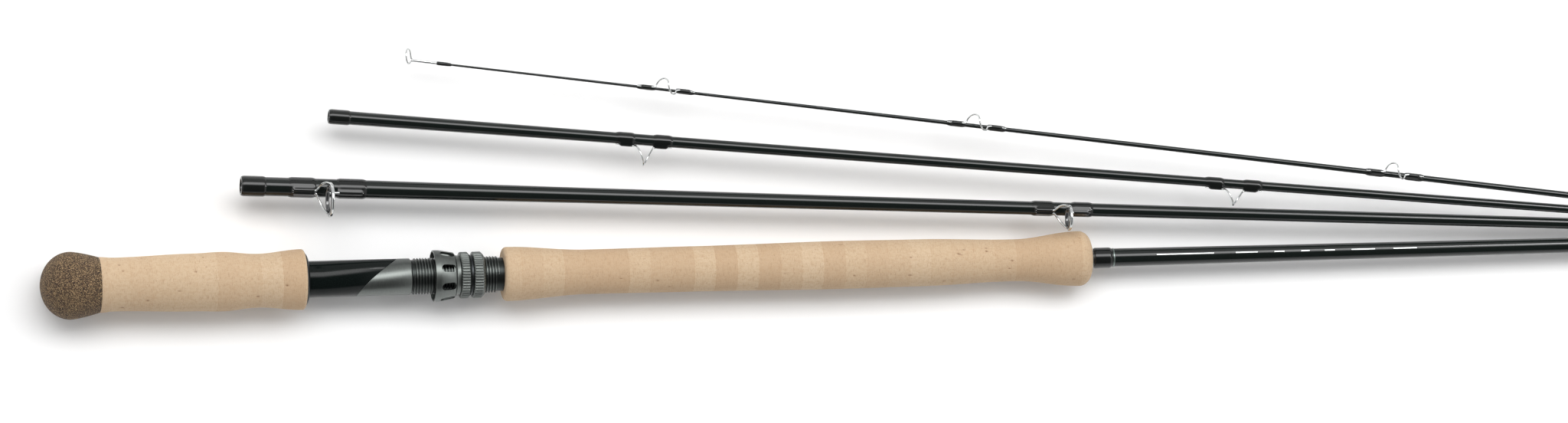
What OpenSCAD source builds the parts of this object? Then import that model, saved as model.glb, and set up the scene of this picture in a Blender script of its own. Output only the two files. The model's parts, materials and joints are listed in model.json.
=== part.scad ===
// Four-piece two-handed fly rod, taken apart and laid out in a fan on a table.
// Units are millimetres. Each section has its own x axis, which starts at its left end.

/* [Rod] */
// Length of the rod put together: 12 ft 9 in
rod_length = 3886; // [3800:1:3960]
// How far the butt section goes into section 2
ferrule_1_depth = 66; // [60:1:72]
// How far section 2 goes into section 3
ferrule_2_depth = 58; // [52:1:64]
// How far section 3 goes into the tip section
ferrule_3_depth = 50; // [45:1:54]
// Diameter of the butt section's male end
ferrule_1_d = 8.4; // [8.2:0.05:8.6]
// Diameter of section 2's male end
ferrule_2_d = 5.8; // [5.6:0.05:5.9]
// Diameter of section 3's male end
ferrule_3_d = 4.4; // [4.2:0.05:4.5]
// Radial play of a male end in its socket
ferrule_play = 0.03; // [0.01:0.005:0.05]

/* [Grips] */
// Largest diameter of the pommel
pommel_d = 39.2; // [38:0.1:39.6]
// Length of the pommel
pommel_len = 34.2; // [33:0.1:36]
// Diameter where the pommel meets the rear grip
pommel_neck_d = 32.2; // [31.6:0.1:32.6]
// Length of the rear grip
rear_grip_len = 121.6; // [119:0.1:124]
// Length of the foregrip
foregrip_len = 347; // [344:1:350]
// Diameter of the foregrip's front flare, on which the handle rests
foregrip_flare_d = 31.9; // [31:0.1:32.5]

/* [Reel seat] */
// Length of the reel seat between the grips
seat_len = 114.6; // [112:0.1:117]
// Outer diameter of the seat's tube
seat_d = 21.2; // [21.1:0.05:21.3]
// Diameter under the inlaid outer layer
seat_core_d = 18; // [17.6:0.1:18.2]
// Pitch of the seat's thread
thread_pitch = 1.71; // [1.65:0.01:1.75]
// Depth of the thread
thread_depth = 0.85; // [0.7:0.05:0.95]
// Diameter of the two knurled nuts
nut_d = 26.9; // [26.4:0.1:27.4]
// Ribs around each nut
knurl_ribs = 48; // [44:2:60]
// Diameter of the sliding hood at its mouth
hood_mouth_d = 29.8; // [29.4:0.1:30.2]
// Vent slots around the sliding hood
hood_vents = 8; // [6:1:8]

/* [Guides] */
// Outer diameter of the first stripping guide's frame
stripper_1_d = 20.3; // [19.8:0.1:20.6]
// Outer diameter of the second stripping guide's frame
stripper_2_d = 15; // [14.6:0.1:15.4]
// Diameter of the guides' wire
guide_wire_d = 1; // [0.9:0.05:1.1]
// Thickness of a thread wrap with its varnish
wrap_t = 0.5; // [0.45:0.05:0.55]

/* [Layout] */
// Turn of section 2 away from the butt section, in degrees
section_2_yaw = 3.09; // [3.05:0.01:3.12]
// Turn of section 3 away from the butt section, in degrees
section_3_yaw = 5.69; // [5.67:0.01:5.71]
// Turn of the tip section away from the butt section, in degrees
tip_yaw = 8.03; // [8.01:0.01:8.05]

/* [Hidden] */
$fn = 96;
eps = 0.01;
// Faces that meet without a joint keep this much apart.
seam = 0.02;
// Where a socket ends, the bore's radius narrows by this much.
socket_step = 0.15;

section_len = (rod_length + ferrule_1_depth + ferrule_2_depth + ferrule_3_depth) / 4;

// Blanks: [distance along the section, outer diameter]
butt_taper = [
    [6, 13.8], [633, 10.65], [742, 9.7], [877, 8.9],
    [section_len - ferrule_1_depth, ferrule_1_d], [section_len, ferrule_1_d]];
section_2_taper = [
    [0, 11.1], [60, 10.7], [200, 9.1], [500, 7.7],
    [section_len - ferrule_2_depth, ferrule_2_d], [section_len, ferrule_2_d]];
section_3_taper = [
    [0, 7.95], [160, 6.6], [465, 5.65],
    [section_len - ferrule_3_depth, ferrule_3_d], [section_len, ferrule_3_d]];
tip_taper = [[8, 1.15], [125, 1.58], [341, 2.43], [665, 3.74], [section_len, 5.3]];

// Stations along the butt section
rear_grip_x = pommel_len;
seat_x = rear_grip_x + rear_grip_len;
foregrip_x = seat_x + seat_len;
front_x = foregrip_x + foregrip_len;
flare_x = front_x - 7;
pommel_mid = 17.6;
// How slowly the pommel narrows towards the grip: 1 is a straight cone
pommel_fullness = 1.4;

// Reel seat stations
thread_x = seat_x + 61.6;
hood_x = seat_x + 73.6;
hood_len = 15.4;
nut_x = hood_x + hood_len;
nut_w = 5.9;
washer_x = nut_x + nut_w;
washer_t = 1.5;
jam_nut_x = washer_x + washer_t;
jam_nut_w = 6.8;
seat_r = seat_d / 2;
core_r = seat_core_d / 2;
thread_r = seat_r - 0.08;
// Running clearance of the hood and the nuts on the thread's crests
running_gap = 0.07;

check_len = 1.4;
wrap_x = front_x + check_len;
butt_wrap_len = 11;

// Curve of the seat's inlaid edge, seen from above: it is seat_edge_x from the seat's left end
// at the middle, and goes on to the right towards +Y
seat_edge_x = 37.3;
seat_edge_slope = 1.17;
seat_edge_bend = 0.028;
seat_edge_steps = 16;
// Rings that centre the seat on the blank
arbor_len = 14;
arbor_inset = 4;
seat_wall = 1.2;

// Vents of the sliding hood, along it
vent_w = 4.6;
vent_from = 3.6;
vent_to = 12.2;
vent_turn = 18;
// Depth of the grooves round the knurled nuts
knurl_depth = 0.5;

// Pocket for the reel's foot, on the underside of the rear grip's front end
pocket_r = seat_r + 2.9;
pocket_depth = 18;
pocket_angle = 84;
liner_t = 1;
liner_angle = pocket_angle + 10;
liner_x = seat_x - pocket_depth - liner_t;
flange_r = 15.3;
flange_len = 1.9;

// The three slim sections lie on a clear sheet, level with the handle: [x, y, height of the sheet]
stand = [0, 0, 14.5];
// Where each section lies: [x, y, height of the axis at its left end]
section_2_at = [118.3, 55.1, 6.1];
section_3_at = [170.8, 93.9, 4.45];
tip_at = [214.9, 126, 1.5];
// Slopes that let the handle rest on pommel and flare, section 2 lie flat,
// section 3 pass over section 2, and the tip section pass over section 3
butt_drop = asin((pommel_d - foregrip_flare_d) / 2 / (flare_x - pommel_mid));
butt_z = pommel_d / 2 + pommel_mid * sin(butt_drop);
section_2_drop = asin((section_2_at.z - ferrule_2_d / 2) / section_len);
section_3_rise = 0.303;
tip_rise = 0.868;
// Directions in which the guides point, turned from straight up towards the butt section
section_2_roll = 24;
// The last guide on section 2 stands steeper, to pass the butt blank.
snake_1_roll = 12;
section_3_roll = 70;
tip_roll = -20;

// The box's middle is the origin.
tip_top_reach = 6;
centre_x = (tip_at.x + section_len * cos(tip_yaw)) / 2;
centre_y = (tip_at.y + tip_top_reach - pommel_d / 2) / 2;

cork = "#d9b990";
composite = "#6b5746";
carbon = "#1c211f";
gunmetal = "#6d6f6e";
chrome = "#c9cccd";
zirconia = "#2a2c2e";

// Snake guides: [middle, gap between wraps, height of the loop, roll]
snake_1_at = [803, 13, 9.6, snake_1_roll];
snake_2_at = [185.2, 11.2, 11, section_3_roll];
snake_3_at = [534.1, 11.7, 8.9, section_3_roll];
snake_4_at = [860, 11.7, 8.6, section_3_roll];
snake_5_at = [155.5, 12.2, 8.6, tip_roll];
snake_6_at = [339.5, 13, 8.6, tip_roll];
snake_7_at = [588.4, 12.2, 8.6, tip_roll];
snake_8_at = [885, 12.2, 8.6, tip_roll];
snake_foot = 11;
foot_end_r = 0.25;

// Stripping guides: [ring's middle, frame's diameter, left wrap, right wrap]
stripper_1_at = [50.3, stripper_1_d, [27.7, 43.4], [56, 73]];
stripper_2_at = [485.5, stripper_2_d, [465, 478], [488.5, 501]];
stripper_lean = 3.5;
stripper_gap = 1.2;
stripper_band_t = 1.3;
stripper_band_w = 1.6;
stripper_leg_r = guide_wire_d / 2 + 0.15;
ring_insert_t = 1.4;
ring_insert_w = 2.4;

// Tip-top: a tube on the tip, and a loop that leans forward
tip_tube_from = 5.9;
tip_tube_to = 20.7;
tip_tube_r = 0.8;
tip_solid_to = 600;
loop_x = 3.2;
loop_r = 4.3;
loop_rise = 5.6;
loop_lean = 28;

// Functions

// Outer radius of a blank at a distance along it
function blank_r(taper, x) = lookup(x, taper) / 2;

// A smooth curve through the points [x, diameter], as [x, radius]
function ease(p, q, t) = [p.x + (q.x - p.x) * t, (p.y + (q.y - p.y) * (1 - cos(180 * t)) / 2) / 2];
function smooth(points, steps = 8) = [
    for (i = [0:len(points) - 2]) for (j = [0:steps - 1]) ease(points[i], points[i + 1], j / steps),
    [points[len(points) - 1].x, points[len(points) - 1].y / 2]];

// An elliptical quarter from its widest point to a smaller radius, as [x, radius]
function quarter(x, r, length, drop, steps = 8) = [
    for (i = [1:steps]) [x + length * sin(90 * i / steps), r - drop * (1 - cos(90 * i / steps))]];

function unit(v) = v / norm(v);

// Rings of points swept along a path, each turned as little as possible from the one before:
// p is the list of centres, r the list of radii
function tangent(p, i) = unit(p[min(i + 1, len(p) - 1)] - p[max(i - 1, 0)]);
function across(s, t) = unit(s - (s * t) * t);
function sides_along(p) = [
    for (i = 0, s = across([0.31, 0.17, -0.93], tangent(p, 0)); i < len(p);
        i = i + 1, s = across(s, tangent(p, min(i, len(p) - 1)))) s];
function sweep_ring(p, r, s, i, sides) = [
    for (k = [0:sides - 1])
        p[i] + r[i] * (cos(360 * k / sides) * s[i] + sin(360 * k / sides) * cross(tangent(p, i), s[i]))];

// Shapes

// Turns a profile of [x, radius] about the section's x axis
module turned(profile) rotate([90, 0, 90]) rotate_extrude() polygon([for (p = profile) [p.y, p.x]]);

// A round bar along x
module bar(x, length, r1, r2 = -1)
    translate([x, 0, 0]) rotate([0, 90, 0]) cylinder(h = length, r1 = r1, r2 = r2 < 0 ? r1 : r2);

// A wire through points, with a radius at each
module wire(path, radii, sides = 8) {
    n = len(path);
    across = sides_along(path);
    rings = [for (i = [0:n - 1]) each sweep_ring(path, radii, across, i, sides)];
    skin = [
        for (i = [0:n - 2]) for (k = [0:sides - 1]) let(a = i * sides, b = a + sides, next = (k + 1) % sides)
            [a + k, b + k, b + next, a + next]];
    ends = [[for (k = [0:sides - 1]) k], [for (k = [0:sides - 1]) n * sides - 1 - k]];
    polyhedron(rings, concat(skin, ends));
}

// A tapered tube. Its left end may be a socket, behind which the bore narrows by a step.
module blank(taper, wall, socket_r = 0, socket_len = 0) {
    first = taper[0].x;
    last = taper[len(taper) - 1].x;
    mouth_r = socket_r > 0 ? socket_r : blank_r(taper, first) - wall;
    step = socket_r > 0 ? socket_step : 0;
    difference() {
        turned(concat([[first, 0]], [for (p = taper) [p.x, p.y / 2]], [[last, 0]]));
        turned([
            [first - eps, 0], [first - eps, mouth_r], [first + socket_len, mouth_r],
            [first + socket_len + eps, mouth_r - step], [last + eps, blank_r(taper, last) - wall],
            [last + eps, 0]]);
    }
}

// A thread wrap on a blank, with sloped ends
module wrap(taper, x1, x2, thickness = wrap_t, slope = 2) {
    edge = min(0.12, thickness / 2);
    difference() {
        turned([
            [x1, 0], [x1, blank_r(taper, x1) + edge],
            [x1 + slope, blank_r(taper, x1 + slope) + thickness],
            [x2 - slope, blank_r(taper, x2 - slope) + thickness],
            [x2, blank_r(taper, x2) + edge], [x2, 0]]);
        turned([
            [x1 - 1, 0], [x1 - 1, blank_r(taper, x1 - 1) + seam],
            [x2 + 1, blank_r(taper, x2 + 1) + seam], [x2 + 1, 0]]);
    }
}

// Snake guide: seen along the rod its wire makes a circle that stands on the blank.
// Its feet lie along the blank, under the wraps.
function snake_u0(taper, at) = blank_r(taper, at.x) + wrap_t + guide_wire_d / 2 + 0.1;
function snake_point(taper, at, t) = [
    at.x + at.y / 2 * sign(t) * (0.8 * pow(sin(90 * t), 2) + 0.2 * abs(t)),
    -at.z / 2 * sin(180 * t),
    snake_u0(taper, at) + at.z * pow(cos(90 * t), 2)];
// The foot's far end is thin and low. The foot lies level from 1.5 mm under the wrap's edge.
function snake_foot_path(taper, at, side) = [
    [at.x + side * (at.y / 2 + snake_foot), 0, blank_r(taper, at.x) + 0.45],
    [at.x + side * (at.y / 2 + 1.5), 0, snake_u0(taper, at)]];
function snake_path(taper, at, steps = 30) = concat(
    snake_foot_path(taper, at, -1),
    [for (i = [1:steps - 1]) snake_point(taper, at, 2 * i / steps - 1)],
    [for (i = [1:-1:0]) snake_foot_path(taper, at, 1)[i]]);
module snake(taper, at) {
    path = snake_path(taper, at);
    last = len(path) - 1;
    rotate([at[3], 0, 0])
        wire(path, [for (i = [0:last]) i == 0 || i == last ? foot_end_r : guide_wire_d / 2]);
}

// The ridge that a foot makes under its wrap. The feet fill the ridges.
module foot_ridge(x1, x2, taper, roll, half_width = 0) {
    r = guide_wire_d / 2 + 0.35;
    rotate([roll, 0, 0]) for (side = half_width > 0 ? [-1, 1] : [0]) {
        translate([0, side * half_width, blank_r(taper, (x1 + x2) / 2) + guide_wire_d / 2])
            bar(x1 + 0.8, x2 - x1 - 1.6, r);
    }
}

module guide_wrap(taper, x1, x2, roll, half_width = 0) {
    difference() {
        union() {
            wrap(taper, x1, x2);
            foot_ridge(x1, x2, taper, roll, half_width);
        }
        bar(x1 - 1, x2 - x1 + 2, blank_r(taper, x1 - 1) + seam, blank_r(taper, x2 + 1) + seam);
    }
}

module snake_wraps(taper, at) {
    for (side = [-1, 1]) {
        near = at.x + side * at.y / 2;
        far = near + side * snake_foot;
        guide_wrap(taper, min(near, far), max(near, far), at[3]);
    }
}

// Stripping guide: a flat ring across the rod. Two legs leave the left wrap side by side,
// spread, and rise to the ring's sides. One short foot goes under the right wrap.
function stripper_middle(taper, at) = blank_r(taper, at.x) + stripper_gap + at.y / 2;
function foot_u(taper, x) = blank_r(taper, x) + stripper_leg_r + seam;
function leg_point(taper, at, side, t) =
    let(low = foot_u(taper, at.x), high = stripper_middle(taper, at), spread = at.y / 2 - 1.6)
    [at[2][1] + (at.x - at[2][1]) * t,
     side * (1 + spread * sin(90 * t)),
     low + (high - low) * (1 - cos(90 * t))];
function leg_path(taper, at, side) = concat(
    [[at[2][0] + 2, side * 0.6, foot_u(taper, at[2][0])]],
    [[at[2][1] - 2, side * 0.8, foot_u(taper, at[2][1])]],
    [for (i = [0:10]) leg_point(taper, at, side, i / 10)]);
function short_foot_path(taper, at) = [
    [at.x - at.y / 2 * sin(stripper_lean), 0, stripper_middle(taper, at) - at.y / 2 + 0.6],
    [(at.x + at[3][0]) / 2, 0, foot_u(taper, at.x) + 0.8],
    [at[3][0] + 1, 0, foot_u(taper, at.x)],
    [at[3][1] - 2, 0, foot_u(taper, at.x)]];

module stripper_frame(taper, at) rotate([section_2_roll, 0, 0]) {
    for (side = [-1, 1]) {
        leg = leg_path(taper, at, side);
        wire(leg, [for (i = [0:len(leg) - 1]) i == 0 ? 0.3 : stripper_leg_r]);
    }
    wire(short_foot_path(taper, at), [stripper_leg_r, stripper_leg_r, stripper_leg_r, 0.3]);
    translate([at.x, 0, stripper_middle(taper, at)]) rotate([0, stripper_lean, 0]) difference() {
        bar(-stripper_band_w / 2, stripper_band_w, at.y / 2);
        bar(-stripper_band_w, 2 * stripper_band_w, at.y / 2 - stripper_band_t);
    }
}

module stripper_ring(taper, at) {
    outer = at.y / 2 - stripper_band_t - seam;
    inner = outer - ring_insert_t;
    mid = (outer + inner) / 2;
    half = ring_insert_w / 2;
    rotate([section_2_roll, 0, 0])
        translate([at.x, 0, stripper_middle(taper, at)]) rotate([0, stripper_lean, 0])
            turned([
                [-half + 0.4, outer], [-half, mid + 0.2], [-half, mid - 0.2],
                [-half + 0.6, inner + 0.05], [0, inner], [half - 0.6, inner + 0.05],
                [half, mid - 0.2], [half, mid + 0.2], [half - 0.4, outer]]);
}

module stripper_wraps(taper, at) {
    guide_wrap(taper, at[2][0], at[2][1], section_2_roll, 0.8);
    guide_wrap(taper, at[3][0], at[3][1], section_2_roll);
}

// Placing

module lie(at, yaw, slope)
    translate([at.x - centre_x, at.y - centre_y, at.z]) rotate([0, slope, -yaw]) children();
module on_butt() lie([0, 0, butt_z], 0, butt_drop) children();
module on_section_2() lie(section_2_at + stand, section_2_yaw, section_2_drop) children();
module on_section_3() lie(section_3_at + stand, section_3_yaw, -section_3_rise) children();
module on_tip() lie(tip_at + stand, tip_yaw, -tip_rise) children();

// Butt section

module butt_blank() color(carbon) on_butt() blank(butt_taper, 1.5);

module pommel() {
    r = pommel_d / 2;
    rear = [for (i = [0:12]) [pommel_mid * (1 - cos(90 * i / 12)), r * sin(90 * i / 12)]];
    front = [for (i = [1:10]) [
        pommel_mid + (pommel_len - pommel_mid) * i / 10,
        r - (r - pommel_neck_d / 2) * pow(i / 10, pommel_fullness)]];
    color(composite) on_butt() difference() {
        turned(concat(rear, front, [[pommel_len, 0]]));
        bar(butt_taper[0].x - seam, pommel_len, blank_r(butt_taper, 6) + seam);
    }
}

module rear_grip() {
    outline = concat(
        smooth([
            [rear_grip_x + seam, pommel_neck_d], [rear_grip_x + 9, 31.1], [rear_grip_x + 55, 33.4],
            [rear_grip_x + 71, 34.4], [rear_grip_x + 93, 31.1], [seat_x - 3.2, 35.1]]),
        quarter(seat_x - 3.2, 17.55, 3.2 - flange_len + 0.3, 2));
    color(cork) on_butt() difference() {
        turned(concat([[rear_grip_x + seam, 0]], outline, [[outline[len(outline) - 1].x, 0]]));
        bar(rear_grip_x - 1, rear_grip_len + 2, blank_r(butt_taper, rear_grip_x) + seam);
        bar(liner_x - seam, pocket_depth + 5, seat_r + seam);
        foot_pocket(liner_angle, pocket_r + liner_t + seam, liner_x - seam, pocket_depth + 5);
    }
}

// A sector around the seat, open to the underside
module foot_pocket(angle, r, x, length)
    rotate([90, 0, 90]) rotate_extrude(angle = angle, start = -90 - angle / 2)
        translate([seat_r - 2, x]) square([r - seat_r + 2, length]);

module fixed_hood() color("#3c3e3f") on_butt() difference() {
    union() {
        turned(concat(
            [[seat_x - flange_len + 0.3 + seam, 0]],
            [[seat_x - flange_len + 0.3 + seam, flange_r]],
            quarter(seat_x - flange_len + 0.3 + seam, flange_r, flange_len, flange_r - seat_r - 0.2),
            [[seat_x + 0.3 + seam, 0]]));
        foot_pocket(liner_angle, pocket_r + liner_t, liner_x, pocket_depth + 0.5);
    }
    bar(seat_x - pocket_depth - 3, pocket_depth + 6, seat_r + seam);
    foot_pocket(pocket_angle, pocket_r, seat_x - pocket_depth, pocket_depth + 5);
}

module seat_arbors() color(cork) on_butt() for (i = [0:2]) {
    x = seat_x + arbor_inset + i * (seat_len - arbor_len - 2 * arbor_inset) / 2;
    difference() {
        bar(x, arbor_len, core_r - seat_wall - seam);
        bar(x - 1, arbor_len + 2, blank_r(butt_taper, x) + seam);
    }
}

// The edge between the seat's dark layer and its metal layer, at y across the tube
function seat_edge(y) = seat_edge_x + seat_edge_slope * y + seat_edge_bend * y * y;
module seat_edge_side(shift) {
    reach = seat_r + 1;
    edge = [
        for (i = [0:seat_edge_steps])
            let(y = reach * (2 * i / seat_edge_steps - 1)) [seat_x + seat_edge(y) + shift, y]];
    translate([0, 0, -reach - 1]) linear_extrude(height = 2 * reach + 2)
        polygon(concat(edge, [[foregrip_x + 2, reach], [foregrip_x + 2, -reach]]));
}

module seat_insert() color("#16211f") on_butt() difference() {
    union() {
        bar(liner_x, pocket_depth + liner_t + seat_len - seam, core_r);
        difference() {
            bar(liner_x, pocket_depth + 60, seat_r);
            seat_edge_side(-seam);
        }
    }
    bar(seat_x - pocket_depth - 3, pocket_depth + seat_len + 5, core_r - seat_wall);
}

// Smooth barrel and thread, which is a row of grooves with the thread's pitch
module seat_barrel() {
    turns = floor((foregrip_x - thread_x) / thread_pitch);
    root = thread_r - thread_depth;
    grooves = [for (i = [0:turns - 1]) each [
        [thread_x + (i + 0.1) * thread_pitch, thread_r], [thread_x + (i + 0.4) * thread_pitch, root],
        [thread_x + (i + 0.6) * thread_pitch, root], [thread_x + (i + 0.9) * thread_pitch, thread_r]]];
    color(gunmetal) on_butt() difference() {
        turned(concat(
            [[seat_x + 10, 0], [seat_x + 10, seat_r], [thread_x - 1.6, seat_r], [thread_x - 1.1, root],
             [thread_x - 0.4, root]],
            grooves, [[foregrip_x - seam, root], [foregrip_x - seam, 0]]));
        bar(seat_x + 5, seat_len, core_r + seam);
        difference() {
            bar(seat_x + 5, 60, seat_r + 1);
            seat_edge_side(seam);
        }
    }
}

module sliding_hood() {
    mouth = hood_mouth_d / 2;
    neck = hood_len - 2.6;
    bore = seat_r + running_gap;
    wall = 1.3;
    color(gunmetal) on_butt() translate([hood_x, 0, 0]) difference() {
        turned([
            [0, 0], [0, mouth - 0.4], [0.4, mouth], [3.3, mouth], [neck - 1, 13.4], [neck, 12.4],
            [neck + 0.2, 11.6], [hood_len - seam, 11.6], [hood_len - seam, 0]]);
        bar(-1, hood_len + 2, bore);
        turned([
            [-1, 0], [-1, mouth - wall + 0.3], [3.3, mouth - wall], [neck - 2.2, 13.4 - wall],
            [neck - 1.2, bore], [neck - 1.2, 0]]);
        for (i = [0:hood_vents - 1]) rotate([i * 360 / hood_vents - vent_turn, 0, 0]) vent();
    }
}

// An oval slot through the hood's wall
module vent() {
    for (x = [vent_from + vent_w / 2, vent_to - vent_w / 2]) {
        translate([x, 0, seat_r + 0.6]) cylinder(h = 8, d = vent_w);
    }
    translate([vent_from + vent_w / 2, -vent_w / 2, seat_r + 0.6])
        cube([vent_to - vent_from - vent_w, vent_w, 8]);
}

// A nut with straight ribs around it and a chamfer at one or both ends
module knurled_nut(x, width, left_chamfer, right_chamfer) {
    r = nut_d / 2;
    root = r - knurl_depth;
    rib = 360 / knurl_ribs;
    ribs = [for (i = [0:knurl_ribs - 1]) each [
        for (p = [[0.08, root], [0.25, r], [0.67, r], [0.84, root]])
            p.y * [cos((i + p.x) * rib), sin((i + p.x) * rib)]]];
    difference() {
        union() {
            turned([
                [x, 0], [x, root - left_chamfer], [x + left_chamfer, root],
                [x + width - right_chamfer, root], [x + width, root - right_chamfer], [x + width, 0]]);
            translate([x + left_chamfer, 0, 0]) rotate([90, 0, 90])
                linear_extrude(height = width - left_chamfer - right_chamfer) polygon(ribs);
        }
        bar(x - 1, width + 2, thread_r + running_gap);
    }
}

module lock_nut() color(gunmetal) on_butt() knurled_nut(nut_x, nut_w - seam, 0.5, 1.1);
module jam_nut() color(gunmetal) on_butt() knurled_nut(jam_nut_x, jam_nut_w, 0.5, 1.6);

module jam_washer() color("#4b4d4e") on_butt() difference() {
    bar(washer_x, washer_t - seam, 11.7);
    bar(washer_x - 1, washer_t + 2, thread_r + running_gap);
}

module foregrip() {
    flare = foregrip_flare_d;
    front = quarter(flare_x, flare / 2, front_x - flare_x, flare / 2 - 7.9);
    body = smooth([
        [foregrip_x + 2.5, flare - 0.6], [foregrip_x + 49.5, 25.8], [foregrip_x + 111, 26.3],
        [foregrip_x + 201, 27.9], [foregrip_x + 245, 27.3], [foregrip_x + 302, 24.3], [flare_x, flare]]);
    color(cork) on_butt() difference() {
        turned(concat(
            [[foregrip_x, 0], [foregrip_x, 13.2], [foregrip_x + 0.6, 14.7]],
            body, front, [[front_x, 0]]));
        bar(foregrip_x - 1, foregrip_len + 2, blank_r(butt_taper, foregrip_x) + seam,
            blank_r(butt_taper, front_x) + seam);
    }
}

module winding_check() color(chrome) on_butt() difference() {
    turned([
        [front_x + seam, 0], [front_x + seam, 7.8], [front_x + 0.5, 7.4],
        [front_x + check_len - seam, 6.1], [front_x + check_len - seam, 0]]);
    bar(front_x - 1, 4, blank_r(butt_taper, front_x) + seam);
}

module butt_wrap() color(carbon) on_butt() wrap(butt_taper, wrap_x, wrap_x + butt_wrap_len, 0.65, 1.2);
module butt_trim_band() color(chrome) on_butt()
    wrap(butt_taper, wrap_x + butt_wrap_len + 0.6, wrap_x + butt_wrap_len + 1.4, 0.14, 0.2);

// Section 2

module section_2_blank() color(carbon) on_section_2()
    blank(section_2_taper, 0.8, ferrule_1_d / 2 + ferrule_play, ferrule_1_depth + 4);
module section_2_ferrule_wrap() color(carbon) on_section_2() wrap(section_2_taper, 0.3, 14.2, 0.45);
module stripper_1_frame() color(chrome) on_section_2() stripper_frame(section_2_taper, stripper_1_at);
module stripper_1_ring() color(zirconia) on_section_2() stripper_ring(section_2_taper, stripper_1_at);
module stripper_1_wraps() color(carbon) on_section_2() stripper_wraps(section_2_taper, stripper_1_at);
module stripper_2_frame() color(chrome) on_section_2() stripper_frame(section_2_taper, stripper_2_at);
module stripper_2_ring() color(zirconia) on_section_2() stripper_ring(section_2_taper, stripper_2_at);
module stripper_2_wraps() color(carbon) on_section_2() stripper_wraps(section_2_taper, stripper_2_at);
module snake_1() color(chrome) on_section_2() snake(section_2_taper, snake_1_at);
module snake_1_wraps() color(carbon) on_section_2() snake_wraps(section_2_taper, snake_1_at);

// Section 3

module section_3_blank() color(carbon) on_section_3()
    blank(section_3_taper, 0.7, ferrule_2_d / 2 + ferrule_play, ferrule_2_depth + 3);
module section_3_ferrule_wrap() color(carbon) on_section_3() wrap(section_3_taper, 0.3, 12.6, 0.4);
module snake_2() color(chrome) on_section_3() snake(section_3_taper, snake_2_at);
module snake_2_wraps() color(carbon) on_section_3() snake_wraps(section_3_taper, snake_2_at);
module snake_3() color(chrome) on_section_3() snake(section_3_taper, snake_3_at);
module snake_3_wraps() color(carbon) on_section_3() snake_wraps(section_3_taper, snake_3_at);
module snake_4() color(chrome) on_section_3() snake(section_3_taper, snake_4_at);
module snake_4_wraps() color(carbon) on_section_3() snake_wraps(section_3_taper, snake_4_at);

// Tip section, which lies the other way round: the tip-top is at its left end

module tip_blank() color(carbon) on_tip() difference() {
    turned(concat([[tip_taper[0].x, 0]], [for (p = tip_taper) [p.x, p.y / 2]], [[section_len, 0]]));
    turned([[tip_solid_to, 0], [tip_solid_to, 0.6], [section_len + eps, 1.9], [section_len + eps, 0]]);
    bar(section_len - ferrule_3_depth - 3, ferrule_3_depth + 4, ferrule_3_d / 2 + ferrule_play);
}
module tip_ferrule_wrap() color(carbon) on_tip()
    wrap(tip_taper, section_len - 11.3, section_len - 0.3, 0.4);
module snake_5() color(chrome) on_tip() snake(tip_taper, snake_5_at);
module snake_5_wraps() color(carbon) on_tip() snake_wraps(tip_taper, snake_5_at);
module snake_6() color(chrome) on_tip() snake(tip_taper, snake_6_at);
module snake_6_wraps() color(carbon) on_tip() snake_wraps(tip_taper, snake_6_at);
module snake_7() color(chrome) on_tip() snake(tip_taper, snake_7_at);
module snake_7_wraps() color(carbon) on_tip() snake_wraps(tip_taper, snake_7_at);
module snake_8() color(chrome) on_tip() snake(tip_taper, snake_8_at);
module snake_8_wraps() color(carbon) on_tip() snake_wraps(tip_taper, snake_8_at);

module tip_top_tube() color(chrome) on_tip() difference() {
    bar(tip_tube_from, tip_tube_to - tip_tube_from - seam, tip_tube_r);
    bar(tip_taper[0].x - seam, tip_tube_to, blank_r(tip_taper, tip_tube_to) + seam);
}

// The tip-top's loop: two legs leave the tube's end and close in a ring that leans forward
function loop_point(a) = [
    loop_x - loop_r * sin(a) * sin(loop_lean),
    loop_r * cos(a),
    loop_rise + loop_r * sin(a) * cos(loop_lean)];
function loop_leg(side) = [[tip_tube_from + 1.2, side * 0.5, 0], [tip_tube_from - 0.4, side * 0.9, 0.4]];
module tip_top_loop() {
    ring = [for (i = [0:20]) loop_point(-38 + i * 256 / 20)];
    path = concat(loop_leg(1), ring, [for (i = [1:-1:0]) loop_leg(-1)[i]]);
    color(chrome) on_tip() rotate([tip_roll, 0, 0])
        wire(path, [for (p = path) p.x > tip_tube_from ? foot_end_r : guide_wire_d / 2]);
}

module tip_wrap() color(carbon) on_tip() difference() {
    turned([
        [tip_tube_to, 0], [tip_tube_to, 1.05], [tip_tube_to + 6.3, 1.1], [tip_tube_to + 8.6, 0.75],
        [tip_tube_to + 8.6, 0]]);
    bar(tip_tube_to - 1, 12, blank_r(tip_taper, tip_tube_to + 10) + seam);
}

butt_blank();
pommel();
rear_grip();
fixed_hood();
seat_arbors();
seat_insert();
seat_barrel();
sliding_hood();
lock_nut();
jam_washer();
jam_nut();
foregrip();
winding_check();
butt_wrap();
butt_trim_band();
section_2_blank();
section_2_ferrule_wrap();
stripper_1_frame();
stripper_1_ring();
stripper_1_wraps();
stripper_2_frame();
stripper_2_ring();
stripper_2_wraps();
snake_1();
snake_1_wraps();
section_3_blank();
section_3_ferrule_wrap();
snake_2();
snake_2_wraps();
snake_3();
snake_3_wraps();
snake_4();
snake_4_wraps();
tip_blank();
tip_ferrule_wrap();
snake_5();
snake_5_wraps();
snake_6();
snake_6_wraps();
snake_7();
snake_7_wraps();
snake_8();
snake_8_wraps();
tip_top_tube();
tip_top_loop();
tip_wrap();
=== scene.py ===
"""Looks of a four-piece two-handed fly rod, taken apart and laid out in a fan.

Pieces are modelled in millimetres along their own section, whose x axis starts at its left end,
and are then laid where the CAD says that the section lies.
"""

import json
import math
import random

import bmesh
import bpy
from mathutils import Matrix, Vector


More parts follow.
